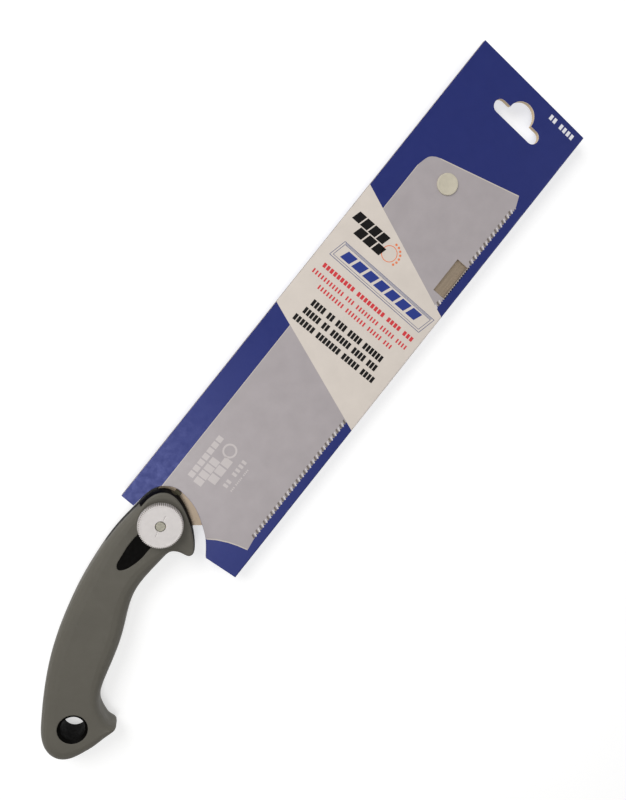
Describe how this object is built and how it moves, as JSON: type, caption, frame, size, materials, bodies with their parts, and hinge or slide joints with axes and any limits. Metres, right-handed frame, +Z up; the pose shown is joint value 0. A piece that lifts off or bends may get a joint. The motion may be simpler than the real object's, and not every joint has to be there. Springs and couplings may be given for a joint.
{
  "type": "japanese pull saw",
  "caption": "Pull saw with a pistol grip, a knob-clamped thin steel blade and a slide-off card sleeve with a hanging slot.",
  "frame": {"origin": "centre of the bounding box's bottom face, with the saw lying on the rear face of its handle", "axes": "+X along the blade from the handle to the tip, +Y towards the blade's spine (teeth at -Y), +Z up, out of the knob's side"},
  "size_m": [0.5044, 0.0874, 0.0294],
  "materials": {
    "black_nylon": "black glass-filled nylon, fine satin",
    "soft_skin": "grey-green soft-touch rubber, matte",
    "blade_steel": "rolled spring steel, fine lengthwise grain",
    "bolt_steel": "zinc-plated steel",
    "plate_steel": "plain steel",
    "insert_brass": "turned brass",
    "knob_plastic": "pale silver-white plastic, satin",
    "printed_board": "printed blue board, stiff paperboard with a satin coat",
    "plain_board": "plain unprinted paperboard",
    "ivory_plastic": "ivory plastic, satin"
  },
  "bodies": {
    "handle": {"handle_core": "black_nylon", "soft_grip": "soft_skin", "anchor_plate": "plate_steel", "clamp_bolt": "bolt_steel", "bolt_retainer": "plate_steel", "pressure_plate": "plate_steel", "tang_pin": "plate_steel"},
    "washer": {"thrust_washer": "bolt_steel"},
    "knob": {"clamp_knob": "knob_plastic", "knob_insert": "insert_brass"},
    "saw_blade": {"blade": "blade_steel"},
    "card_sleeve": {"sleeve_wrap": "printed_board", "spine_filler": "plain_board", "tip_filler": "plain_board", "closure_disc": "ivory_plastic"}
  },
  "joints": [
    {"name": "knob_lift", "type": "slide", "parent": "handle", "child": "washer", "axis": [0, 0, 1], "range_m": [0, 0.002]},
    {"name": "knob_turn", "type": "hinge", "parent": "washer", "child": "knob", "pos_m": [-0.0976, 0.01625, 0.0265], "axis": [0, 0, 1], "range_deg": [0, 720]},
    {"name": "blade_change", "type": "slide", "parent": "handle", "child": "saw_blade", "axis": [1, 0, 0], "range_m": [0, 0.04]},
    {"name": "sleeve_off", "type": "slide", "parent": "saw_blade", "child": "card_sleeve", "axis": [1, 0, 0], "range_m": [0, 0.32]}
  ],
  "couplings": [
    {"joint": "knob_turn", "follows": "knob_lift", "rad_per_m": 6283.2}
  ]
}
